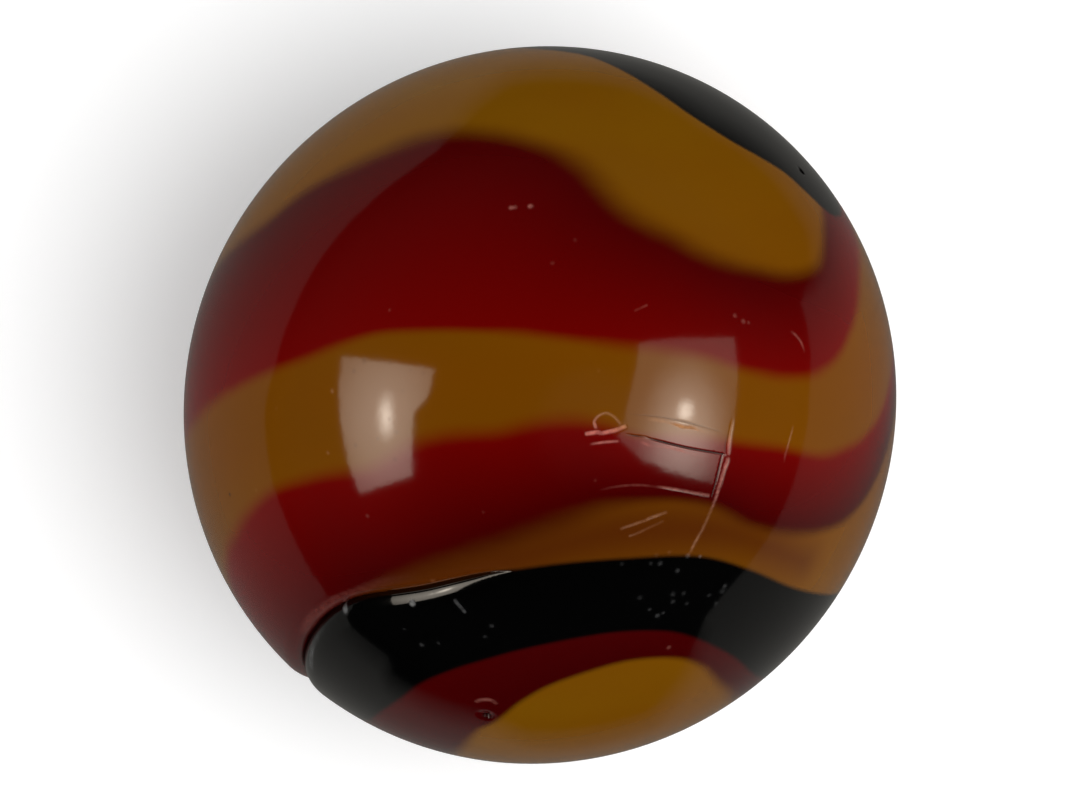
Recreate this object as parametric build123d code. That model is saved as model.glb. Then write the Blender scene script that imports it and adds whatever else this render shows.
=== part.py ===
from build123d import *
from build123d.topology import SkipClean
import os
from math import cos, radians, sin, sqrt, tan

# An opaque swirled glass marble, in one fused piece, as it left the rollers and with the knocks it has had since.
# The origin is the ball's centre. +Z points out of the face with the crease and the bruise, and +Y is that
# face's top. A place on the ball is an azimuth, from +X towards +Y, and an elevation, from the XY plane towards
# +Z. Lengths are in millimetres and angles in degrees.

# The ball, which was rolled a little out of round: flatter along one line that lies in the XY plane. Its two flat
# ends are each part of a slightly larger sphere, and the band between them, so wide each way, is curved tighter
long_diameter = 16.2
short_diameter = 15.8
flat_way_azimuth = 143
band_half_angle = 15

# The ball's skin is made as lunes that meet at the flat ends, so that no one face carries every mark
lune_angle = 90

# The crease, where the hot gob was sheared off and its end folded over: a lip of red glass lies along one side,
# and the black glass rolls away from it on the other
crease_depth = 0.13
lip_reach = 0.42
shoulder_reach = 0.72

# How far up its height a wall has come a third of the way out, so that it is steep below and eases off above
wall_roundness = 0.58

# The slit at the bottom of the crease, where the two folds touch and never fused: it leans in under the lip
slit_width = 0.05
slit_depth = 0.28
slit_lean = 0.16

# Places that the crease passes through, each with its share of the crease's depth and of the slit's depth
crease_route = [
    (240, -32, 0.0, 0.0),
    (234, -15, 0.6, 0.3),
    (229, 2, 1.0, 0.7),
    (225, 24, 1.0, 1.0),
    (226.5, 40, 0.8, 0.6),
    (240, 53, 0.6, 0.1),
    (262, 62, 0.0, 0.0),
]

# The bruise: hairline cracks round a knock, each through places with a share of its depth
crack_width = 0.04
crack_depth = 0.20
long_crack_route = [(330, 79, 0.0), (341, 73, 0.8), (344, 65, 1.0), (345, 57, 0.8), (346, 54, 0.0)]
upper_crack_route = [(355, 75, 0.0), (354, 67, 0.5), (353, 60, 0.6), (352, 56, 0.0)]
side_crack_route = [(356, 58, 0.0), (345, 56.7, 1.0), (334, 55.8, 0.9), (324, 54.5, 0.7), (314, 53, 0.0)]
lower_crack_route = [(326, 65, 0.0), (329, 62, 0.5), (333, 57, 0.6), (334.5, 54.5, 0.0)]
crack_routes = [long_crack_route, upper_crack_route, side_crack_route, lower_crack_route]

# Two bubbles that burst at the surface: a shallow dish with a deeper hole at its lower edge
lower_bubble_place = (260, 30)
lower_bubble_radius = 0.24
upper_bubble_place = (42, 15)
upper_bubble_radius = 0.13
dish_depth_share = 0.2
hole_radius_share = 0.55
hole_depth_share = 0.5

# How far a cutter stands out of the glass over a cut, and how far it stays clear of it where a cut runs out
cutter_height = 0.12
cutter_clearance = 0.02



def rolled_ball():
    """The whole ball before its marks, turned about the line that it is flat along."""
    equator = long_diameter / 2
    end = short_diameter / 2
    slope = tan(radians(band_half_angle))
    band_centre = (equator - end) * (1 + slope + sqrt(1 + slope**2)) / (2 * slope)
    end_centre = band_centre * slope
    cap = CenterArc((-end_centre, 0), end + end_centre, 0, 90 - band_half_angle)
    band = CenterArc((0, band_centre), equator - band_centre, 90 - band_half_angle, 2 * band_half_angle)
    half = make_face([cap, band, mirror(cap, Plane.YZ), Line((-end, 0), (end, 0))])
    ball = Part()
    for turn in range(0, 360, lune_angle):
        ball += Rot(turn, 0, 0) * revolve(half, Axis.X, lune_angle)
    return Rot(0, 0, flat_way_azimuth) * ball


def on_skin(ball, azimuth, elevation):
    """The point of the ball's skin at a place, and the way that the skin faces there."""
    level = cos(radians(elevation))
    outward = Vector(level * cos(radians(azimuth)), level * sin(radians(azimuth)), sin(radians(elevation)))
    crossings = ball.find_intersection_points(Axis((0, 0, 0), outward))
    return max(crossings, key=lambda crossing: crossing[0].dot(outward))


def planes_along(ball, places):
    """A plane at each place, square to the line through them. Its Y axis points out of the glass."""
    spots = [on_skin(ball, *place) for place in places]
    planes = []
    for index, (point, facing) in enumerate(spots):
        before = spots[max(index - 1, 0)][0]
        after = spots[min(index + 1, len(spots) - 1)][0]
        side = facing.cross(after - before).normalized()
        planes.append(Plane(origin=point, x_dir=side, z_dir=side.cross(facing)))
    return planes


def level_at(depth, share):
    """The height of a cut's bottom: its depth at a full share, and just clear of the glass at none."""
    return cutter_clearance - share * (depth + cutter_clearance)


def crease_section(plane, share, slit_share):
    """The crease across its line: two walls that round over into the ball's surface, and the slit between them."""
    bottom = level_at(crease_depth, share)
    rim = 2 * cutter_clearance
    middle = bottom + wall_roundness * (rim - bottom)
    slit_tip = (slit_lean * slit_share, bottom - slit_width / 2 - slit_depth * slit_share)
    outline = [
        Line(slit_tip, (slit_width / 2, bottom)),
        ThreePointArc((slit_width / 2, bottom), (lip_reach / 3, middle), (lip_reach, rim)),
        Line((lip_reach, rim), (lip_reach, cutter_height)),
        Line((lip_reach, cutter_height), (-shoulder_reach, cutter_height)),
        Line((-shoulder_reach, cutter_height), (-shoulder_reach, rim)),
        ThreePointArc((-shoulder_reach, rim), (-shoulder_reach / 3, middle), (-slit_width / 2, bottom)),
        Line((-slit_width / 2, bottom), slit_tip),
    ]
    return plane * make_face(outline)


def crease(ball):
    """The fold's open mouth with the slit below it, from under the ball's edge to where both run out."""
    planes = planes_along(ball, [stop[:2] for stop in crease_route])
    return loft([crease_section(plane, *stop[2:]) for plane, stop in zip(planes, crease_route)])


def crack_section(plane, share):
    """A thin wedge, as wide as the crack at the surface where it is deepest."""
    half = crack_width / 2 * (crack_depth + cutter_height) / crack_depth
    tip = (0, level_at(crack_depth, share))
    return plane * make_face(Polyline((-half, cutter_height), (half, cutter_height), tip, close=True))


def crack(ball, route):
    """One hairline crack."""
    planes = planes_along(ball, [stop[:2] for stop in route])
    return loft([crack_section(plane, stop[2]) for plane, stop in zip(planes, route)])


def dish(point, out, mouth_radius, depth):
    """A ball that sinks into the surface to a depth, and is as wide as the mouth there."""
    radius = (mouth_radius**2 + depth**2) / (2 * depth)
    return Pos(point + out * (radius - depth)) * Sphere(radius)


def burst_bubble(ball, place, radius):
    """The dish that a bubble leaves, and the hole at its lower edge."""
    point, out = on_skin(ball, *place)
    down = (Vector(0, -1, 0) - out * Vector(0, -1, 0).dot(out)).normalized()
    hole_radius = radius * hole_radius_share
    hole_point = point + down * (radius - hole_radius)
    return [
        dish(point, out, radius, radius * dish_depth_share),
        dish(hole_point, out, hole_radius, radius * hole_depth_share),
    ]


def marble():
    """The ball with its crease, cracks and burst bubbles."""
    ball = rolled_ball()
    cutters = [crease(ball)]
    cutters += [crack(ball, route) for route in crack_routes]
    cutters += burst_bubble(ball, lower_bubble_place, lower_bubble_radius)
    cutters += burst_bubble(ball, upper_bubble_place, upper_bubble_radius)
    for cutter in cutters:
        ball -= cutter
    return ball


os.makedirs("parts", exist_ok=True)
with SkipClean():
    export_step(marble(), "parts/marble.step")
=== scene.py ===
from math import cos, radians, sin, sqrt

import bmesh
import bpy
import numpy as np
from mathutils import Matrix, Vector


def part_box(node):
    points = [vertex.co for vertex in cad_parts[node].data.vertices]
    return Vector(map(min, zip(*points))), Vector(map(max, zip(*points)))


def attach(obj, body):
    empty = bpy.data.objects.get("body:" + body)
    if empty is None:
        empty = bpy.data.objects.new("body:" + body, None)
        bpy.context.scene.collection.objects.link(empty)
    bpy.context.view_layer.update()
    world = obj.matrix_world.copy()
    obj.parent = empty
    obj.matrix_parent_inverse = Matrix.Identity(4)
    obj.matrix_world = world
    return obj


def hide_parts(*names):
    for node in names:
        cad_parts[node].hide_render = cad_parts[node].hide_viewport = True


# An opaque swirled glass marble lying on white paper, seen from straight above. Lengths are in metres, or in
# millimetres where a table says so, and angles in degrees. A place on the ball is given in one of three ways:
# as an azimuth, from +X towards +Y, with an elevation above the XY plane; as a turn round the Y axis, from +Z
# towards +X, with a height above the XZ plane; or as the millimetres that it lies right and up of the face's
# middle.
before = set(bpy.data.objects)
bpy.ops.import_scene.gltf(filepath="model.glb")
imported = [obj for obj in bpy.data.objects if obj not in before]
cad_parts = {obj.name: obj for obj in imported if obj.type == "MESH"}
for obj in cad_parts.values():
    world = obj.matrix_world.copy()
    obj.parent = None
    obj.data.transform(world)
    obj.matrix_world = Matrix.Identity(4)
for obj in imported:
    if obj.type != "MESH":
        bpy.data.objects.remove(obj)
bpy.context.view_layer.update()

MM = 0.001

# The ball, rolled a little out of round: flatter along one line that lies in the XY plane
long_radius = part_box("marble")[1][2]
short_radius = 7.9 * MM
flat_way_azimuth = 143

# The ball's mesh: how often an icosahedron is divided, and how near to the crease, to a scar, to a speck and
# to a bubble its faces are divided again, one distance for each time
ball_divisions = 7
crease_reaches = [0.8 * MM, 0.45 * MM, 0.1 * MM]
scar_reaches = [0.24 * MM, 0.12 * MM, 0.06 * MM]
speck_reaches = [0.2 * MM, 0.12 * MM]
bubble_reaches = [0.45 * MM, 0.35 * MM]
# What lies further than this from the middle of a line, or of a scar, is out of its reach and isn't tested
line_span = 12 * MM
scar_span = 3 * MM

# The crease, where the hot gob was sheared off and its end folded over: the azimuth and elevation of its
# places, with their share of its depth and of the slit's. The glass rolls into it on both sides, more tightly
# on the lip
crease_route = [
    (240, -32, 0.0, 0.0),
    (234, -15, 0.6, 0.3),
    (229, 2, 0.9, 0.7),
    (225, 24, 1.0, 1.0),
    (226, 40.5, 1.0, 0.9),
    (239, 54, 0.95, 0.6),
    (251, 60.2, 0.7, 0.3),
    (262, 63, 0.0, 0.0),
]
crease_depth = 0.34 * MM
lip_reach = 0.42 * MM
shoulder_reach = 0.56 * MM
slit_half_width = 0.03 * MM
slit_depth = 0.12 * MM

# Bubbles that burst at the surface: azimuth, elevation and radius in mm. Each left a shallow dish with a dark
# hole at its lower edge, its darkness painted shade. The hole's radius and both depths are shares of the
# bubble's radius
bubbles = [(260, 30, 0.24), (42, 15, 0.13)]
dish_depth_share = 0.2
hole_radius_share = 0.55
hole_depth_share = 0.5
# How dark the painted shade in the hole is
hole_shade_tone = -0.9

# A mark is at its full depth and tone near its middle, the wider the more its fullness, and eases off to its
# edge. A dimple's edge is its radius, and a scar's lies at so many of its half widths
dimple_fullness = 1.2
scar_fullness = 1.3
scar_spread = 1.4

# The marks that a knock and years of play left, with painted light among them: the upper crack's glint is a
# painted highlight, the pale edges of the lip and the shoulder are painted reflections, and where a number is
# below none the mark is painted shade. For each: its half width and depth in mm, and then the places, in mm
# right and up of the middle, with how pale they are, or how dark where the number is below none
scars_and_painted_light = {
    "long crack": (0.021, 0.012, [
        (1.86, -0.64, 0), (2.10, -0.68, -0.7), (2.30, -0.70, -0.3), (2.42, -0.74, -0.6), (2.65, -0.80, -1),
        (3.27, -0.95, -1), (3.95, -1.07, -0.9), (4.14, -1.11, 0),
    ]),
    "long crack's lower edge": (0.035, 0.0, [
        (2.20, -0.80, 0), (2.34, -0.86, 0.5), (2.46, -0.90, 0.1), (2.80, -0.93, 0.3), (3.10, -1.00, 0.5),
        (3.30, -1.06, 0.2), (3.90, -1.17, 0),
    ]),
    "upper crack": (0.018, 0.008, [
        (1.90, -0.20, 0), (2.20, -0.22, -0.15), (2.70, -0.27, -0.35), (3.32, -0.40, -0.45),
        (3.90, -0.56, -0.15), (4.07, -0.62, 0),
    ]),
    # A painted highlight: the lamp's glint just below the upper crack's kink
    "upper crack's glint": (0.04, 0.0, [
        (2.30, -0.30, 0), (2.60, -0.34, 0.4), (2.90, -0.40, 0.5), (3.15, -0.48, 1.6), (3.35, -0.50, 1.0),
        (3.60, -0.58, 0.2), (3.90, -0.66, 0),
    ]),
    "thick streak": (0.046, 0.006, [
        (0.98, -0.64, 0), (1.04, -0.63, 1.3), (1.25, -0.60, 1.6), (1.36, -0.62, 0.9), (1.46, -0.60, 1.5),
        (1.68, -0.55, 1.9), (1.86, -0.48, 1.8), (1.92, -0.45, 0),
    ]),
    "thin streak": (0.032, 0.006, [
        (1.08, -0.88, 0), (1.20, -0.85, 0.5), (1.42, -0.82, 0.9), (1.68, -0.80, 0.7), (1.76, -0.79, 0),
    ]),
    "loop": (0.034, 0.006, [
        (1.24, -0.54, 0), (1.22, -0.46, 1.2), (1.20, -0.36, 0.7), (1.29, -0.24, 0.6), (1.46, -0.18, 0.5),
        (1.62, -0.25, 0.4), (1.76, -0.38, 0.3), (1.80, -0.44, 0),
    ]),
    "side crack above": (0.036, 0.005, [
        (4.28, -0.28, 0), (4.26, -0.42, 0.5), (4.22, -0.62, 1), (4.19, -0.85, 1.1), (4.18, -1.06, 0.6),
        (4.18, -1.12, 0),
    ]),
    "side crack below": (0.038, 0.005, [
        (4.16, -1.14, 0), (4.15, -1.26, 1.4), (4.08, -1.45, 0.9), (3.97, -1.86, 0.9), (3.88, -2.15, 0.7),
        (3.80, -2.35, 0.5), (3.63, -2.74, 0.6), (3.44, -3.08, 0.9), (3.36, -3.25, 0.4), (3.32, -3.32, 0),
    ]),
    "side crack's shade": (0.02, 0.008, [
        (4.08, -1.05, 0), (4.03, -1.15, -0.7), (3.93, -1.60, -0.7), (3.83, -1.97, -0.5), (3.80, -2.06, 0),
    ]),
    "side crack's far side": (0.02, 0.0, [
        (4.24, -0.50, 0), (4.13, -0.75, -0.3), (4.10, -1.00, -0.4), (4.12, -1.08, 0),
    ]),
    "lower crack": (0.032, 0.005, [
        (2.55, -1.80, 0), (2.79, -1.83, 0.5), (3.10, -1.88, 0.6), (3.30, -1.92, 0.5), (3.70, -2.00, 0.7),
        (3.78, -2.02, 0),
    ]),
    "lower crack's start": (0.03, 0.0, [
        (1.30, -1.88, 0), (1.70, -1.80, 0.2), (2.20, -1.77, 0.25), (2.80, -1.84, 0),
    ]),
    "long scratch": (0.038, 0.01, [
        (1.80, -2.74, 0.3), (1.90, -2.70, 0.7), (2.32, -2.56, 0.5), (2.45, -2.50, 0.8), (2.79, -2.38, 0.4),
    ]),
    "short scratch": (0.034, 0.006, [
        (1.99, -2.90, 0.7), (2.12, -2.86, 0.5), (2.39, -2.73, 0.35), (2.72, -2.58, 0.2),
    ]),
    "right scratch": (0.03, 0.008, [
        (5.63, -0.44, 0), (5.63, -0.55, 0.5), (5.54, -0.89, 0.6), (5.47, -1.15, 0.3), (5.46, -1.30, 0),
    ]),
    "red scratch": (0.035, 0.008, [
        (5.60, 1.62, 0.2), (5.72, 1.52, 0.5), (5.82, 1.38, 0.4), (5.90, 1.15, 0),
    ]),
    "faint scratch": (0.03, 0.004, [
        (2.10, 2.08, 0.2), (2.35, 2.20, 0.35),
    ]),
    "black scratch": (0.045, 0.006, [
        (-1.87, -4.33, 0.45), (-1.67, -4.57, 0.35),
    ]),
    # The pale edges of the lip and the shoulder are painted reflections of light on their rounded edges
    "lip's painted reflection": (0.13, 0.0, [
        (-5.36, -5.20, 0), (-5.22, -4.98, 0.18), (-5.03, -4.70, 0.22), (-4.51, -4.34, 0.2),
        (-4.00, -4.12, 0.16), (-3.49, -3.94, 0.12), (-2.98, -3.84, 0.05), (-2.60, -3.75, 0),
    ]),
    "shoulder's painted reflection": (0.07, 0.0, [
        (-5.12, -5.86, 0.5), (-5.12, -5.60, 0.6), (-5.08, -5.35, 0.3), (-4.95, -5.10, 0.1),
        (-4.85, -4.95, 0),
    ]),
    "bubble's rim": (0.06, 0.0, [
        (-1.46, -6.62, 0), (-1.38, -6.58, 0.5), (-1.22, -6.55, 0.7), (-1.06, -6.58, 0.5), (-0.94, -6.68, 0),
    ]),
}

# Specks: mm right and up of the middle, radius in mm, and how pale or dark it is. A pale one is a tiny
# dimple, as deep as this share of its radius times its tone, and a dark one has no depth
speck_depth_share = 0.05
specks = [
    (-0.64, 4.37, 0.08, 0.8), (-0.56, 4.38, 0.08, 0.6), (-0.21, 4.40, 0.09, 1.0), (0.27, 3.13, 0.07, 0.3),
    (0.78, 3.64, 0.07, 0.15), (4.31, 1.98, 0.07, 0.45), (4.50, 1.85, 0.08, 0.5), (4.62, 1.82, 0.05, 0.4),
    (-3.34, 2.11, 0.05, 0.3), (-4.70, -1.06, 0.07, 0.35), (-4.61, 0.31, 0.08, 0.3),
    (-6.33, -1.91, 0.07, 0.3), (-5.88, -0.07, 0.06, 0.3), (-3.81, -2.45, 0.06, 0.35),
    (-1.25, -2.36, 0.04, 0.25), (1.22, -1.66, 0.05, 0.3), (2.89, -5.43, 0.08, 0.5),
    (1.29, 0.75, 0.06, 0.35), (-2.62, -5.31, 0.08, 0.25), (-2.25, -5.27, 0.06, 0.18),
    (-1.07, -4.89, 0.07, 0.22), (-1.21, -5.13, 0.06, 0.18), (-3.00, -4.96, 0.05, 0.12),
    # The two brightest specks, at 1.6, are painted highlights: the glint at the end of the crease's sliver
    # and a small oval glint left of it
    (-2.38, -3.91, 0.09, 0.4), (-2.84, -4.40, 0.10, 1.6), (-4.40, -4.60, 0.13, 1.6),
    (3.29, -3.35, 0.08, 0.5), (3.57, -3.37, 0.06, 0.5), (2.88, -3.27, 0.07, 0.25),
    (2.59, -3.32, 0.07, 0.15), (2.67, -3.52, 0.08, 0.22), (2.46, -3.52, 0.06, 0.15),
    (1.82, -3.52, 0.07, 0.1), (3.06, -3.69, 0.08, 0.2), (2.97, -4.22, 0.09, 0.15), (3.21, -4.20, 0.08, 0.1),
    (2.97, -4.39, 0.08, 0.18), (3.28, -4.44, 0.07, 0.12), (2.22, -4.29, 0.09, 0.1),
    (2.44, -4.56, 0.06, 0.15), (2.62, -4.70, 0.08, 0.25), (2.75, -4.64, 0.06, 0.18),
    (4.14, -4.06, 0.08, 0.2), (4.09, -4.16, 0.10, 0.15), (3.79, -4.26, 0.07, 0.12),
    (3.96, -4.45, 0.07, 0.15), (-6.94, -2.00, 0.07, -0.5), (-3.90, 0.98, 0.09, -0.2),
    (-4.13, 0.75, 0.08, -0.2), (-3.32, 0.94, 0.07, -0.1), (-2.86, 0.77, 0.07, -0.1),
    (-2.57, 0.70, 0.08, -0.1), (-3.04, 0.31, 0.08, -0.1), (-3.33, -0.31, 0.07, -0.2),
    (-3.17, -0.60, 0.08, -0.2), (-3.58, -0.74, 0.07, -0.2), (-4.08, -0.89, 0.08, -0.2),
    (-3.20, -1.20, 0.08, -0.2),
]

# Ribbons of glass laid in the ochre, each a loop round the ball: turn, height, half width in mm, and how far
# in mm its upper and its lower edge fade into the ochre
upper_red = [
    (-76.6, 10.6, 1.83, 0.35, 0.25), (-56, 18.4, 2.05, 0.35, 0.2), (-45, 23, 2.25, 0.35, 0.2),
    (-32, 28, 2.42, 0.4, 0.15), (-19, 30.4, 2.6, 0.45, 0.15), (-13.5, 30.2, 2.57, 0.45, 0.15),
    (-7.5, 29.1, 2.45, 0.5, 0.15), (-2, 26.8, 2.19, 0.5, 0.2), (3.5, 24.2, 1.93, 0.5, 0.2),
    (8.7, 22.2, 1.73, 0.5, 0.2), (13.7, 20.4, 1.57, 0.5, 0.25), (18.8, 18.9, 1.43, 0.45, 0.25),
    (23.9, 17.1, 1.28, 0.45, 0.25), (29.5, 15.3, 1.17, 0.4, 0.2), (38, 13.2, 1.19, 0.35, 0.2),
    (48, 12.8, 1.15, 0.3, 0.2), (58, 16.9, 0.86, 0.25, 0.2), (64.2, 22.1, 0.76, 0.25, 0.25),
    (69.2, 26.6, 0.78, 0.25, 0.25), (76, 31.5, 0.83, 0.3, 0.25), (84, 37, 0.85, 0.3, 0.3),
    (98, 44, 0.95, 0.4, 0.3), (120, 53, 1.0, 0.4, 0.3), (150, 58, 1.0, 0.4, 0.3), (180, 50, 1.1, 0.4, 0.3),
    (205, 36, 1.3, 0.4, 0.3), (225, 22, 1.5, 0.4, 0.3), (247, 11, 1.75, 0.4, 0.3), (268, 7, 1.8, 0.4, 0.3),
]
middle_red = [
    (-85, -41.5, 1.2, 0.3, 0.3), (-70.5, -36, 1.45, 0.3, 0.3), (-60, -31, 1.55, 0.3, 0.3),
    (-47, -25, 1.62, 0.25, 0.35), (-36.6, -21.4, 1.45, 0.25, 0.4), (-26, -19, 1.3, 0.25, 0.45),
    (-15.3, -14.6, 1.37, 0.3, 0.5), (-5.2, -12.4, 1.19, 0.3, 0.45), (2.1, -10.4, 1.13, 0.3, 0.4),
    (8.2, -9.5, 0.98, 0.25, 0.3), (14.6, -10, 0.77, 0.2, 0.2), (23, -10, 0.74, 0.2, 0.15),
    (31.6, -11.1, 0.78, 0.2, 0.2), (40.5, -13.1, 0.93, 0.2, 0.2), (51, -14.4, 0.91, 0.2, 0.2),
    (61.3, -13, 0.93, 0.2, 0.2), (68.5, -9.7, 0.8, 0.2, 0.2), (76, -3.6, 0.63, 0.2, 0.2),
    (82, 2.4, 0.5, 0.2, 0.2), (90, 9, 0.5, 0.25, 0.3), (105, 15, 0.6, 0.3, 0.3), (130, 17, 0.8, 0.3, 0.4),
    (165, 9, 0.9, 0.3, 0.4), (200, -8, 1.1, 0.3, 0.4), (225, -24, 1.2, 0.3, 0.4), (245, -36, 1.2, 0.3, 0.3),
    (262, -42, 1.15, 0.3, 0.3),
]
lower_red = [
    (-90, -68, 1.1, 0.12, 0.25), (-49, -62.2, 1.26, 0.12, 0.2), (-33, -56.7, 1.21, 0.12, 0.15),
    (-24, -53.8, 1.19, 0.12, 0.12), (-13.2, -49.4, 1.02, 0.12, 0.12), (-3.1, -45.6, 0.85, 0.12, 0.12),
    (8.3, -42.5, 0.72, 0.12, 0.12), (19.3, -40.4, 0.64, 0.12, 0.12), (31, -40.5, 0.55, 0.12, 0.12),
    (41.6, -42.9, 0.49, 0.12, 0.15), (54.5, -46.5, 0.6, 0.12, 0.2), (74, -49.8, 0.78, 0.12, 0.3),
    (110, -52, 0.7, 0.3, 0.3), (160, -57, 0.8, 0.3, 0.3), (200, -64, 0.8, 0.3, 0.3),
    (240, -69, 0.9, 0.3, 0.3),
]
# How dark or bright the red is at a ribbon's lower and at its upper edge
red_ribbons = [(upper_red, 1.0, 0.1), (middle_red, 0.0, 1.0), (lower_red, 0.0, 0.15)]
lower_black = [
    (-61, -50.6, 1.1), (-47, -46.1, 1.23), (-36, -41.5, 1.29), (-25, -38.7, 1.2), (-15.3, -36.6, 1.13),
    (-6, -34.6, 1.08), (4.8, -32.8, 1.03), (15.6, -31.7, 0.98), (27.5, -31.6, 1.0), (38.5, -33.9, 0.99),
    (53, -37.8, 1.03), (72, -41, 1.22), (92, -41, 1.25), (122, -38, 1.2), (160, -34, 1.1), (200, -36, 1.0),
    (235, -44, 0.95), (262, -52, 0.9), (282, -54, 0.95),
]
# The black glass over the top is a cap with a round lobe at each end. Its edge, as turn and height, goes
# round with the black on its left
black_cap = [
    (0, 81.5), (29.6, 75.5), (35.5, 68), (39, 60), (43, 52.6), (48.8, 46.8), (55, 43), (60.8, 39.6),
    (64.3, 36), (67.8, 33), (73, 31.3), (82, 33), (96, 41), (115, 50), (140, 56), (165, 53), (190, 45),
    (210, 38), (226, 39), (236, 47), (238, 59), (235, 71), (258, 80), (325, 84),
]
# Where the ochre under the middle ribbon runs thin over darker glass: turn, height, half width and fade in mm
burnt_ochre = [
    (-40, -34, 0.5, 0.8), (-15, -28, 0.7, 0.8), (5, -22, 0.8, 0.9), (20, -20, 0.8, 0.9), (35, -21, 0.6, 0.8),
    (55, -26, 0.3, 0.8),
]
# The black glass ends in the crease's slit: its edge is held there up to the first distance, and let go at
# the second, where the crease has this share of its depth. Far from an edge, levels stop at the limit
crease_hold = 0.3 * MM
crease_release = 0.9 * MM
crease_full_share = 0.9
level_limit = 9.0

# The glass's colours, as sRGB codes. The ochre is the first at mid height and the second near the top and the
# bottom, from one height to the other, and the third where it is cloudy
ochre_colours = ("6E3C01", "6C4802", "653A01")
ochre_heights = (1.0 * MM, 6.0 * MM)
burnt_colour = "4C2103"
dark_red = "330001"
bright_red = "630201"
black_glass = "020202"
# What crushed glass, and the painted highlights and reflections, add to the colour over ochre, red and black,
# and the painted shade of an open crack
crushed_and_painted_light_over_ochre = "5D4028"
crushed_and_painted_light_over_red = "78463C"
crushed_and_painted_light_over_black = "5A5A5A"
crack_shade_colour = "100202"

# The sizes of what can be seen in the glass: its streaks and clouds, drawn out along the ribbons by these
# shares, the grit of crushed glass, and the ripple of the skin, with its height
streak_size = 1.1 * MM
cloud_size = 2.5 * MM
drawn_out = (0.35, 1.0, 0.6)
grit_size = 0.13 * MM
ripple_size = 0.7 * MM
ripple_height = 0.003 * MM
# Where the grit's noise is between the first two numbers, a mark is between the last two times as pale
grit_noise = (0.35, 0.6)
grit_shares = (0.5, 1.15)
# How far the streaks shift a ribbon's edge, as a share of its fade, and how softly black ends, in mm
stir = 0.45
black_softness = 0.08
# The glass's gloss, as roughness, where it is whole and where it is worn
whole_roughness = 0.08
worn_roughness = 0.45
soda_lime_ior = 1.5

# The camera looks straight down, far enough away that the ball hides as little of itself as in the photograph
camera_distance = 500 * MM
picture_width = 24.16 * MM
sensor_width = 36
nearest_seen = 10 * MM
furthest_seen = 10

# The studio: two soft lamps that the glass mirrors, each with a brighter middle. A lamp's outline, its middle
# and its glows are given as shares of its distance, along +Y and upwards from the line that it is square to.
# A glow adds a level within a radius, lies so far towards -Y from the middle, and is stretched so much
# along +Y
lamp_distance = 300 * MM
lamp_elevation = 38
lamp_colour = "FFF3E2"
left_outline = [
    (0.262, -0.313), (0.215, 0.31), (0.05, 0.27), (-0.023, 0.194), (-0.369, 0.150), (-0.433, -0.229),
]
left_middle = (-0.04, 0.02)
left_edge_level = 1.7
left_glows = [(2.8, 0.45, 0.02, 1.3), (11.0, 0.075, 0.0, 2.0)]
right_outline = [(0.345, 0.347), (0.314, -0.288), (-0.427, -0.21), (-0.328, 0.318), (-0.217, 0.489)]
right_middle = (-0.04, 0.07)
right_edge_level = 0.9
right_glows = [(5.0, 0.34, 0.13, 1.4), (13.0, 0.07, 0.01, 1.2)]

# The key light, which throws the ball's shadow: azimuth and elevation, distance, width and watts
key_direction = (-22, 72)
key_distance = 400 * MM
key_width = 260 * MM
key_watts = 1.05
# The fill from all round is at its level from the horizon down, and falls off by this power to none overhead
fill_level = 2.8
fill_power = 2.0

# The paper, and how much brighter the camera sees it than it is lit
paper_half_width = 500 * MM
paper_lift = 0.2
# The paper as the glass mirrors it, which ends where dark things stood round it: azimuth and reach in mm
mirrored_paper = [
    (96, 25), (101, 32), (107, 47), (113, 72), (120, 96), (130, 112), (140, 112), (157, 112), (171, 100),
    (179, 73), (200, 73), (210, 72), (220, 63), (229, 52), (239, 48), (242, 36), (250, 33), (262, 31),
    (269, 23), (290, 21.5), (297, 30), (304, 50), (309, 90), (316, 118), (330, 112), (348, 110), (2, 96),
    (10, 75), (20, 70), (25, 38), (33, 28), (45, 25.5), (60, 28), (75, 23), (90, 23.5),
]
# How bright it is and its colour, from what share of its reach it fades, and the reach up to which it fades
# out wholly. From twice that reach it doesn't fade
paper_glow = 0.145
paper_tint = "FFFCF4"
fade_start = 0.58
near_reach = 34 * MM


def hex_colour(code):
    """An sRGB colour such as '6E4101' as linear red, green, blue and alpha."""
    parts = [int(code[start:start + 2], 16) / 255 for start in (0, 2, 4)]
    return [part / 12.92 if part <= 0.04045 else ((part + 0.055) / 1.055) ** 2.4 for part in parts] + [1]


def add(tree, kind, inputs=None, **settings):
    """Adds a node, sets its properties, and gives its inputs their values or links."""
    node = tree.nodes.new(kind)
    for name, value in settings.items():
        setattr(node, name, value)
    for socket, value in (inputs or {}).items():
        if isinstance(value, bpy.types.NodeSocket):
            tree.links.new(value, node.inputs[socket])
        else:
            node.inputs[socket].default_value = value
    return node


def from_azimuth(azimuth, elevation):
    """The direction of a place given as an azimuth and an elevation."""
    level = cos(radians(elevation))
    return level * cos(radians(azimuth)), level * sin(radians(azimuth)), sin(radians(elevation))


def from_turn(turn, height):
    """The direction of a place given as a turn and a height."""
    level = cos(radians(height))
    return level * sin(radians(turn)), sin(radians(height)), level * cos(radians(turn))


def from_above(right, up):
    """The direction of a place given as millimetres right and up of the face's middle."""
    return right, up, sqrt((long_radius / MM) ** 2 - right**2 - up**2)


def on_ball(directions):
    """The points of the ball's skin that lie in these directions from its centre."""
    units = directions / np.linalg.norm(directions, axis=1, keepdims=True)
    flat_share = (units @ np.array(from_azimuth(flat_way_azimuth, 0))) ** 2
    return units / np.sqrt(flat_share / short_radius**2 + (1 - flat_share) / long_radius**2)[:, None]


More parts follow.
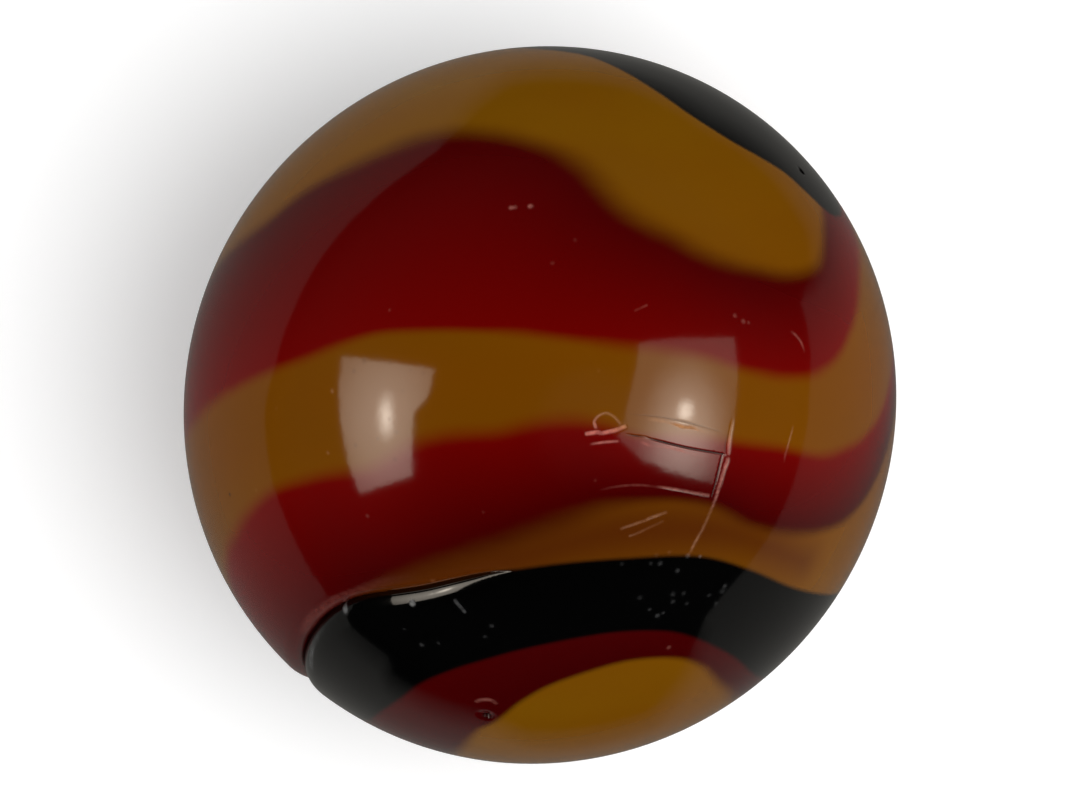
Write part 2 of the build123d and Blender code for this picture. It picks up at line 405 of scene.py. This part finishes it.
def route(places, direction, closed=False, steps=6):
    """A smooth line on the ball through places, with the values that each place has beside its first two."""
    knots = [(*on_ball(np.array([direction(*place[:2])]))[0], *place[2:]) for place in places]
    knots = np.array(knots)
    if closed:
        knots = np.vstack([knots[-1], knots, knots[:2]])
    else:
        knots = np.vstack([2 * knots[0] - knots[1], knots, 2 * knots[-1] - knots[-2]])
    line = []
    for before, start, end, after in zip(knots, knots[1:], knots[2:], knots[3:]):
        for share in np.arange(steps) / steps:
            line.append(0.5 * (2 * start + (end - before) * share
                               + (2 * before - 5 * start + 4 * end - after) * share**2
                               + (3 * start - before - 3 * end + after) * share**3))
    line.append(knots[-2])
    line = np.array(line)
    return on_ball(line[:, :3]), line[:, 3:]


def nearest(points, line, values, width_first=False):
    """For each point, how far the line is, on which side, and the line's values there. The side is positive
    on the left of the line, seen from outside. width_first takes the place where the point lies deepest
    inside the line's width."""
    best = np.full(len(points), np.inf)
    distance = np.zeros(len(points))
    side = np.zeros(len(points))
    found = np.zeros((len(points), values.shape[1]))
    for start, end, value, next_value in zip(line, line[1:], values, values[1:]):
        run = end - start
        share = np.clip((points - start) @ run / (run @ run), 0, 1)
        offset = points - start - share[:, None] * run
        reach = np.linalg.norm(offset, axis=1)
        here = value + share[:, None] * (next_value - value)
        score = reach - here[:, 0] if width_first else reach
        better = score < best
        left = np.cross(start + end, run)
        best[better] = score[better]
        distance[better] = reach[better]
        side[better] = np.sign(offset[better] @ left)
        found[better] = here[better]
    return distance, side, found


def smooth(share):
    """Eases from nothing at 0 to all at 1."""
    share = np.clip(share, 0, 1)
    return share * share * (3 - 2 * share)


def mark_lines():
    """The crease and the scars, as smooth lines with their values and reaches."""
    lines = [(*route(crease_route, from_azimuth), crease_reaches)]
    lines += [(*route(places, from_above), scar_reaches) for half_width, depth, places in scars_and_painted_light.values()]
    return lines


def mark_places():
    """The specks, dishes and holes: each one's place, radius and depth in metres, how pale it is, and its
    reaches."""
    dimples = []
    for right, up, radius, tone in specks:
        place = on_ball(np.array([from_above(right, up)]))[0]
        depth = speck_depth_share * radius * MM * max(tone, 0)
        dimples.append((place, radius * MM, depth, tone, speck_reaches))
    for azimuth, elevation, radius in bubbles:
        place = on_ball(np.array([from_azimuth(azimuth, elevation)]))[0]
        outward = Vector(place).normalized()
        down = Vector((0, -1, 0)) - outward * Vector((0, -1, 0)).dot(outward)
        hole = place + np.array(down.normalized()) * (1 - hole_radius_share) * radius * MM
        hole_radius = hole_radius_share * radius * MM
        hole_depth = hole_depth_share * radius * MM
        dimples.append((place, radius * MM, dish_depth_share * radius * MM, 0.0, bubble_reaches))
        dimples.append((hole, hole_radius, hole_depth, hole_shade_tone, bubble_reaches))
    return dimples


def divide_near(bm, lines, dimples, level):
    """Divides the faces that lie near enough to a mark for this level."""
    faces = list(bm.faces)
    centres = np.array([face.calc_center_median() for face in faces])
    chosen = np.zeros(len(faces), bool)
    for line, values, reaches in lines:
        if level < len(reaches):
            near = np.linalg.norm(centres - line.mean(axis=0), axis=1) < line_span
            near &= (centres >= line.min(axis=0) - reaches[level]).all(axis=1)
            near &= (centres <= line.max(axis=0) + reaches[level]).all(axis=1)
            chosen[near] |= nearest(centres[near], line, values)[0] < reaches[level]
    for place, radius, depth, tone, reaches in dimples:
        if level < len(reaches):
            chosen |= np.linalg.norm(centres - place, axis=1) < reaches[level]
    edges = {edge for face, take in zip(faces, chosen) if take for edge in face.edges}
    bmesh.ops.subdivide_edges(bm, edges=list(edges), cuts=1, use_grid_fill=True)
    bmesh.ops.triangulate(bm, faces=[face for face in bm.faces if len(face.verts) > 3])


def crease_fall(distance, side, share, slit_share):
    """How far the surface lies below the ball at a distance from the crease's slit."""
    reach = np.where(side > 0, lip_reach, shoulder_reach)
    rolled = 1 - np.sqrt(1 - np.clip(1 - distance / reach, 0, 1) ** 2)
    slit = np.clip(1 - distance / slit_half_width, 0, 1)
    return crease_depth * share * rolled + slit_depth * slit_share * slit


def model_ball():
    """The ball's mesh with its crease, marks, specks and bubbles, the points of its skin without them, and
    how pale or dark the marks are, painted highlights, reflections and shade included."""
    bm = bmesh.new()
    bmesh.ops.create_icosphere(bm, subdivisions=ball_divisions, radius=long_radius)
    lines = mark_lines()
    dimples = mark_places()
    for level in range(len(crease_reaches)):
        divide_near(bm, lines, dimples, level)
    points = on_ball(np.array([vert.co for vert in bm.verts]))
    outward = points / np.linalg.norm(points, axis=1, keepdims=True)
    line, values, _ = lines[0]
    distance, side, found = nearest(points, line, values)
    fall = crease_fall(distance, side, found[:, 0], found[:, 1])
    tone = np.zeros(len(points))
    for (half_width, depth, places), (line, values, _) in zip(scars_and_painted_light.values(), lines[1:]):
        near = np.linalg.norm(points - line.mean(axis=0), axis=1) < scar_span
        distance, side, found = nearest(points[near], line, values)
        across = smooth(scar_fullness * (1 - distance / (half_width * MM * scar_spread)))
        fall[near] += depth * MM * np.abs(found[:, 0]) * across
        tone[near] += found[:, 0] * across
    for place, radius, depth, pale, _ in dimples:
        across = smooth(dimple_fullness * (1 - np.linalg.norm(points - place, axis=1) / radius))
        fall += depth * across
        tone += pale * across
    for vert, place in zip(bm.verts, points - outward * fall[:, None]):
        vert.co = place
    bmesh.ops.recalc_face_normals(bm, faces=bm.faces)
    mesh = bpy.data.meshes.new("swirl_marble")
    bm.to_mesh(mesh)
    bm.free()
    mesh.shade_smooth()
    return mesh, points, tone


def give(mesh, name, values):
    """Writes one number for each vertex, for the material to read."""
    mesh.attributes.new(name, "FLOAT", "POINT").data.foreach_set("value", values.astype(np.float32))


def paint_swirl(mesh, points):
    """Tells each vertex how deep it lies inside the red and the black glass, and how burnt the ochre is."""
    red_level = np.full(len(points), -level_limit)
    red_glow = np.zeros(len(points))
    for places, lower_glow, upper_glow in red_ribbons:
        line, values = route(places, from_turn, closed=True)
        values = values * MM
        distance, side, found = nearest(points, line, values, width_first=True)
        level = (found[:, 0] - distance) / np.where(side > 0, found[:, 1], found[:, 2])
        height = 0.5 + 0.5 * side * distance / found[:, 0]
        closer = level > red_level
        red_level[closer] = level[closer]
        red_glow[closer] = (lower_glow + (upper_glow - lower_glow) * height)[closer]
    line, values = route(lower_black, from_turn, closed=True)
    distance, side, found = nearest(points, line, values * MM, width_first=True)
    black = (found[:, 0] - distance) / MM
    line, values = route(black_cap, from_turn, closed=True)
    distance, side, found = nearest(points, line, values)
    black = np.maximum(black, side * distance / MM)
    line, values = route(crease_route, from_azimuth)
    distance, side, found = nearest(points, line, values)
    beside = smooth((crease_release - distance) / (crease_release - crease_hold))
    beside *= smooth(found[:, 0] / crease_full_share)
    black = black + beside * (-side * distance / MM - black)
    line, values = route(burnt_ochre, from_turn)
    distance, side, found = nearest(points, line, values * MM, width_first=True)
    give(mesh, "burnt", smooth(0.5 + 0.5 * (found[:, 0] - distance) / found[:, 1]))
    give(mesh, "red_level", np.clip(red_level, -level_limit, level_limit))
    give(mesh, "red_glow", np.clip(red_glow, 0, 1))
    give(mesh, "black_edge", np.clip(black, -level_limit, level_limit))


def swirl_glass():
    """Opaque soda-lime glass, pressed round between rollers and left as it cooled: a wet-looking gloss over
    colours that fade into each other where red and ochre were stirred together, and stop short at the black.
    Marks are pale and gritty, or dark, and dull: the pale ones are crushed glass and painted highlights and
    reflections, and the dark ones are painted with the shade of cracks and holes."""
    material = bpy.data.materials.new("swirled_opaque_soda_lime_glass")
    material.use_nodes = True
    tree = material.node_tree
    shader = tree.nodes["Principled BSDF"]
    red_level = add(tree, "ShaderNodeAttribute", attribute_name="red_level").outputs["Fac"]
    red_glow = add(tree, "ShaderNodeAttribute", attribute_name="red_glow").outputs["Fac"]
    black_edge = add(tree, "ShaderNodeAttribute", attribute_name="black_edge").outputs["Fac"]
    burnt = add(tree, "ShaderNodeAttribute", attribute_name="burnt").outputs["Fac"]
    scar_and_painted_light = add(tree, "ShaderNodeAttribute", attribute_name="scar_and_painted_light").outputs["Fac"]
    place = add(tree, "ShaderNodeTexCoord").outputs["Object"]
    flow = add(tree, "ShaderNodeMapping", {"Vector": place, "Scale": drawn_out}).outputs["Vector"]
    streaks = add(tree, "ShaderNodeTexNoise", {"Vector": flow, "Scale": 1 / streak_size, "Detail": 4}
                  ).outputs["Fac"]
    cloud = add(tree, "ShaderNodeTexNoise", {"Vector": flow, "Scale": 1 / cloud_size, "Detail": 2}
                ).outputs["Fac"]
    height = add(tree, "ShaderNodeSeparateXYZ", {"Vector": place}).outputs["Y"]
    off_middle = add(tree, "ShaderNodeMath", {0: height}, operation="ABSOLUTE").outputs[0]
    gold = add(tree, "ShaderNodeMapRange", {"Value": off_middle, "From Min": ochre_heights[0],
                                            "From Max": ochre_heights[1]}).outputs["Result"]
    middle_ochre, outer_ochre, cloudy_ochre = [hex_colour(code) for code in ochre_colours]
    ochre = add(tree, "ShaderNodeMix", {0: gold, 6: middle_ochre, 7: outer_ochre},
                data_type="RGBA").outputs[2]
    ochre = add(tree, "ShaderNodeMix", {0: cloud, 6: ochre, 7: cloudy_ochre}, data_type="RGBA").outputs[2]
    ochre = add(tree, "ShaderNodeMix", {0: burnt, 6: ochre, 7: hex_colour(burnt_colour)},
                data_type="RGBA").outputs[2]
    red = add(tree, "ShaderNodeMix", {0: red_glow, 6: hex_colour(dark_red), 7: hex_colour(bright_red)},
              data_type="RGBA").outputs[2]
    shift = add(tree, "ShaderNodeMapRange", {"Value": streaks, "To Min": -stir, "To Max": stir}
                ).outputs["Result"]
    stirred_level = add(tree, "ShaderNodeMath", {0: red_level, 1: shift}, operation="ADD").outputs[0]
    red_share = add(tree, "ShaderNodeMapRange", {"Value": stirred_level, "From Min": -1.0, "From Max": 1.0},
                    interpolation_type="SMOOTHSTEP").outputs["Result"]
    stirred = add(tree, "ShaderNodeMix", {0: red_share, 6: ochre, 7: red}, data_type="RGBA").outputs[2]
    black_share = add(tree, "ShaderNodeMapRange", {"Value": black_edge, "From Min": -black_softness,
                                                   "From Max": black_softness},
                      interpolation_type="SMOOTHSTEP").outputs["Result"]
    colour = add(tree, "ShaderNodeMix", {0: black_share, 6: stirred, 7: hex_colour(black_glass)},
                 data_type="RGBA").outputs[2]
    # The pale marks add crushed glass, and also painted highlights and reflections
    crushed_and_painted_light = add(tree, "ShaderNodeMix", {0: red_share, 6: hex_colour(crushed_and_painted_light_over_ochre),
                                          7: hex_colour(crushed_and_painted_light_over_red)}, data_type="RGBA").outputs[2]
    crushed_and_painted_light = add(tree, "ShaderNodeMix", {0: black_share, 6: crushed_and_painted_light, 7: hex_colour(crushed_and_painted_light_over_black)},
                  data_type="RGBA").outputs[2]
    grit = add(tree, "ShaderNodeTexNoise", {"Vector": place, "Scale": 1 / grit_size, "Detail": 3}
               ).outputs["Fac"]
    (low, high), (faint, full) = grit_noise, grit_shares
    grit = add(tree, "ShaderNodeMapRange", {"Value": grit, "From Min": low, "From Max": high, "To Min": faint,
                                            "To Max": full}).outputs["Result"]
    pale = add(tree, "ShaderNodeMath", {0: scar_and_painted_light, 1: grit}, operation="MULTIPLY").outputs[0]
    pale = add(tree, "ShaderNodeMath", {0: pale, 1: 0.0}, operation="MAXIMUM").outputs[0]
    crushed_and_painted_light = add(tree, "ShaderNodeVectorMath", {0: crushed_and_painted_light, "Scale": pale}, operation="SCALE").outputs[0]
    colour = add(tree, "ShaderNodeVectorMath", {0: colour, 1: crushed_and_painted_light}, operation="ADD").outputs[0]
    # Painted shade darkens the open cracks, the bubble's hole and the dark specks
    dark = add(tree, "ShaderNodeMath", {0: scar_and_painted_light, 1: -1.0}, operation="MULTIPLY").outputs[0]
    colour = add(tree, "ShaderNodeMix", {0: dark, 6: colour, 7: hex_colour(crack_shade_colour)},
                 data_type="RGBA").outputs[2]
    tree.links.new(colour, shader.inputs["Base Color"])
    marked = add(tree, "ShaderNodeMath", {0: scar_and_painted_light}, operation="ABSOLUTE").outputs[0]
    wear = add(tree, "ShaderNodeMapRange", {"Value": marked, "From Max": 1.0, "To Min": whole_roughness,
                                            "To Max": worn_roughness}).outputs["Result"]
    tree.links.new(wear, shader.inputs["Roughness"])
    shader.inputs["IOR"].default_value = soda_lime_ior
    ripple = add(tree, "ShaderNodeTexNoise", {"Vector": place, "Scale": 1 / ripple_size, "Detail": 3}
                 ).outputs["Fac"]
    bump = add(tree, "ShaderNodeBump", {"Height": ripple, "Strength": 1.0, "Distance": ripple_height}
               ).outputs["Normal"]
    tree.links.new(bump, shader.inputs["Normal"])
    return material


def paper():
    """White copy paper: matt, and lit to white except where the ball's shadow falls."""
    material = bpy.data.materials.new("matt_white_copy_paper")
    material.use_nodes = True
    tree = material.node_tree
    tree.nodes.clear()
    path = add(tree, "ShaderNodeLightPath")
    matt = add(tree, "ShaderNodeBsdfDiffuse", {"Color": hex_colour("FFFFFF")}).outputs[0]
    lift = add(tree, "ShaderNodeMath", {0: path.outputs["Is Camera Ray"], 1: paper_lift},
               operation="MULTIPLY").outputs[0]
    glow = add(tree, "ShaderNodeEmission", {"Color": hex_colour("FFFFFF"), "Strength": lift}).outputs[0]
    lit = add(tree, "ShaderNodeAddShader", {0: matt, 1: glow}).outputs[0]
    add(tree, "ShaderNodeOutputMaterial", {"Surface": lit})
    return material


def plain_emission(name, colour, strength):
    """A surface that only shines, evenly."""
    material = bpy.data.materials.new(name)
    material.use_nodes = True
    tree = material.node_tree
    tree.nodes.clear()
    glow = add(tree, "ShaderNodeEmission", {"Color": hex_colour(colour), "Strength": strength}).outputs[0]
    add(tree, "ShaderNodeOutputMaterial", {"Surface": glow})
    return material


def show(name, mesh, material):
    """Puts a mesh into the scene as an object at the origin."""
    mesh.materials.append(material)
    piece = bpy.data.objects.new(name, mesh)
    bpy.context.collection.objects.link(piece)
    return piece


def flat_sheet(name, corners, material):
    """One flat face with these corners."""
    bm = bmesh.new()
    bm.faces.new([bm.verts.new(corner) for corner in corners])
    bmesh.ops.triangulate(bm, faces=bm.faces)
    mesh = bpy.data.meshes.new(name)
    bm.to_mesh(mesh)
    bm.free()
    return show(name, mesh, material)


def for_reflections_only(piece):
    """Only the glass mirrors this: the camera doesn't see it, and it lights and shades nothing."""
    piece.visible_camera = False
    piece.visible_diffuse = False
    piece.visible_shadow = False


def lay_floor():
    """The paper that the ball lies on, and its dim twin that the glass mirrors."""
    half = paper_half_width
    floor = flat_sheet("floor", [(-half, -half, -long_radius), (half, -half, -long_radius),
                                 (half, half, -long_radius), (-half, half, -long_radius)], paper())
    floor.visible_glossy = False
    lay_mirrored_paper()


def lay_mirrored_paper():
    """What the glass mirrors in place of the paper: dim, and fading out where it ends near the ball."""
    bm = bmesh.new()
    corners = []
    for azimuth, reach in mirrored_paper:
        inner_reach = fade_start * reach * MM
        across = inner_reach * cos(radians(azimuth))
        up = inner_reach * sin(radians(azimuth))
        corners.append((across, up, -long_radius))
    middle = bm.faces.new([bm.verts.new(corner) for corner in corners])
    rim = bmesh.ops.extrude_edge_only(bm, edges=middle.edges)["geom"]
    rim = [part for part in rim if isinstance(part, bmesh.types.BMVert)]
    bmesh.ops.scale(bm, vec=(1 / fade_start, 1 / fade_start, 1), verts=rim)
    bm.verts.index_update()
    level = np.ones(len(bm.verts))
    for vert in rim:
        level[vert.index] = smooth(vert.co.xy.length / near_reach - 1)
    bmesh.ops.triangulate(bm, faces=bm.faces)
    mesh = bpy.data.meshes.new("mirrored_paper")
    bm.to_mesh(mesh)
    bm.free()
    give(mesh, "level", level)
    twin = show("mirrored_paper", mesh, plain_emission("mirrored_paper", paper_tint, paper_glow))
    tree = twin.active_material.node_tree
    fade = add(tree, "ShaderNodeAttribute", attribute_name="level").outputs["Fac"]
    fade = add(tree, "ShaderNodeMath", {0: fade, 1: paper_glow}, operation="MULTIPLY").outputs[0]
    tree.links.new(fade, tree.nodes["Emission"].inputs["Strength"])
    for_reflections_only(twin)


def hang_lamp(name, azimuth, outline, middle, edge_level, glows):
    """A studio lamp's soft front: an even cloth, with glows on it that fade out at their radius."""
    towards = Vector(from_azimuth(azimuth, lamp_elevation))
    sideways = Vector((0, 1, 0))
    upwards = Vector(from_azimuth(azimuth + 180, 90 - lamp_elevation))
    corners = [lamp_distance * (towards + side * sideways + up * upwards) for side, up in outline]
    panel = flat_sheet(name, corners, plain_emission(name + "_cloth", lamp_colour, edge_level))
    tree = panel.active_material.node_tree
    place = add(tree, "ShaderNodeTexCoord").outputs["Object"]
    total = edge_level
    for level, radius, lower, stretch in glows:
        centre = lamp_distance * (towards + (middle[0] - lower) * sideways + middle[1] * upwards)
        off = add(tree, "ShaderNodeVectorMath", {0: place, 1: centre}, operation="SUBTRACT").outputs[0]
        off = add(tree, "ShaderNodeVectorMath", {0: off, 1: (1, 1 / stretch, 1)},
                  operation="MULTIPLY").outputs[0]
        off = add(tree, "ShaderNodeVectorMath", {0: off}, operation="LENGTH").outputs["Value"]
        part = add(tree, "ShaderNodeMapRange", {"Value": off, "From Max": radius * lamp_distance,
                                                "To Min": level, "To Max": 0.0},
                   interpolation_type="SMOOTHSTEP").outputs["Result"]
        total = add(tree, "ShaderNodeMath", {0: part, 1: total}, operation="ADD").outputs[0]
    tree.links.new(total, tree.nodes["Emission"].inputs["Strength"])
    for_reflections_only(panel)


def light_studio():
    """Two soft lamps, a key light for the shadow, and an even fill from all round."""
    hang_lamp("left_lamp", 180, left_outline, left_middle, left_edge_level, left_glows)
    hang_lamp("right_lamp", 0, right_outline, right_middle, right_edge_level, right_glows)
    key = bpy.data.lights.new("key", "AREA")
    key.shape = "DISK"
    key.size = key_width
    key.energy = key_watts
    lamp = bpy.data.objects.new("key", key)
    bpy.context.collection.objects.link(lamp)
    direction = Vector(from_azimuth(*key_direction))
    lamp.location = direction * key_distance
    lamp.rotation_euler = direction.to_track_quat("Z", "Y").to_euler()
    lamp.visible_glossy = False
    lamp.visible_camera = False
    world = bpy.data.worlds.new("studio")
    bpy.context.scene.world = world
    world.use_nodes = True
    tree = world.node_tree
    tree.nodes.clear()
    path = add(tree, "ShaderNodeLightPath")
    sky_way = add(tree, "ShaderNodeTexCoord").outputs["Generated"]
    up = add(tree, "ShaderNodeSeparateXYZ", {"Vector": sky_way}).outputs["Z"]
    low = add(tree, "ShaderNodeMath", {0: 1.0, 1: up}, operation="SUBTRACT", use_clamp=True).outputs[0]
    low = add(tree, "ShaderNodeMath", {0: low, 1: fill_power}, operation="POWER").outputs[0]
    fill = add(tree, "ShaderNodeMath", {0: low, 1: fill_level}, operation="MULTIPLY").outputs[0]
    level = add(tree, "ShaderNodeMix", {0: path.outputs["Is Glossy Ray"], 2: fill, 3: 0.0}).outputs[0]
    level = add(tree, "ShaderNodeMix", {0: path.outputs["Is Camera Ray"], 2: level, 3: 1.0}).outputs[0]
    sky = add(tree, "ShaderNodeBackground", {"Color": hex_colour("FFFFFF"), "Strength": level}).outputs[0]
    add(tree, "ShaderNodeOutputWorld", {"Surface": sky})


def place_camera():
    """A camera straight above the ball with the photograph's framing."""
    data = bpy.data.cameras.new("camera")
    data.sensor_width = sensor_width
    data.lens = sensor_width * camera_distance / picture_width
    data.clip_start = nearest_seen
    data.clip_end = furthest_seen
    camera = bpy.data.objects.new("camera", data)
    camera.location = (0, 0, camera_distance)
    bpy.context.collection.objects.link(camera)
    bpy.context.scene.camera = camera


place_camera()
light_studio()
lay_floor()
ball_mesh, ball_points, ball_tone = model_ball()
paint_swirl(ball_mesh, ball_points)
give(ball_mesh, "scar_and_painted_light", ball_tone)
marble = show("swirl_marble", ball_mesh, swirl_glass())
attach(marble, "root")
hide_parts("marble")
bpy.context.scene.view_settings.view_transform = "Standard"
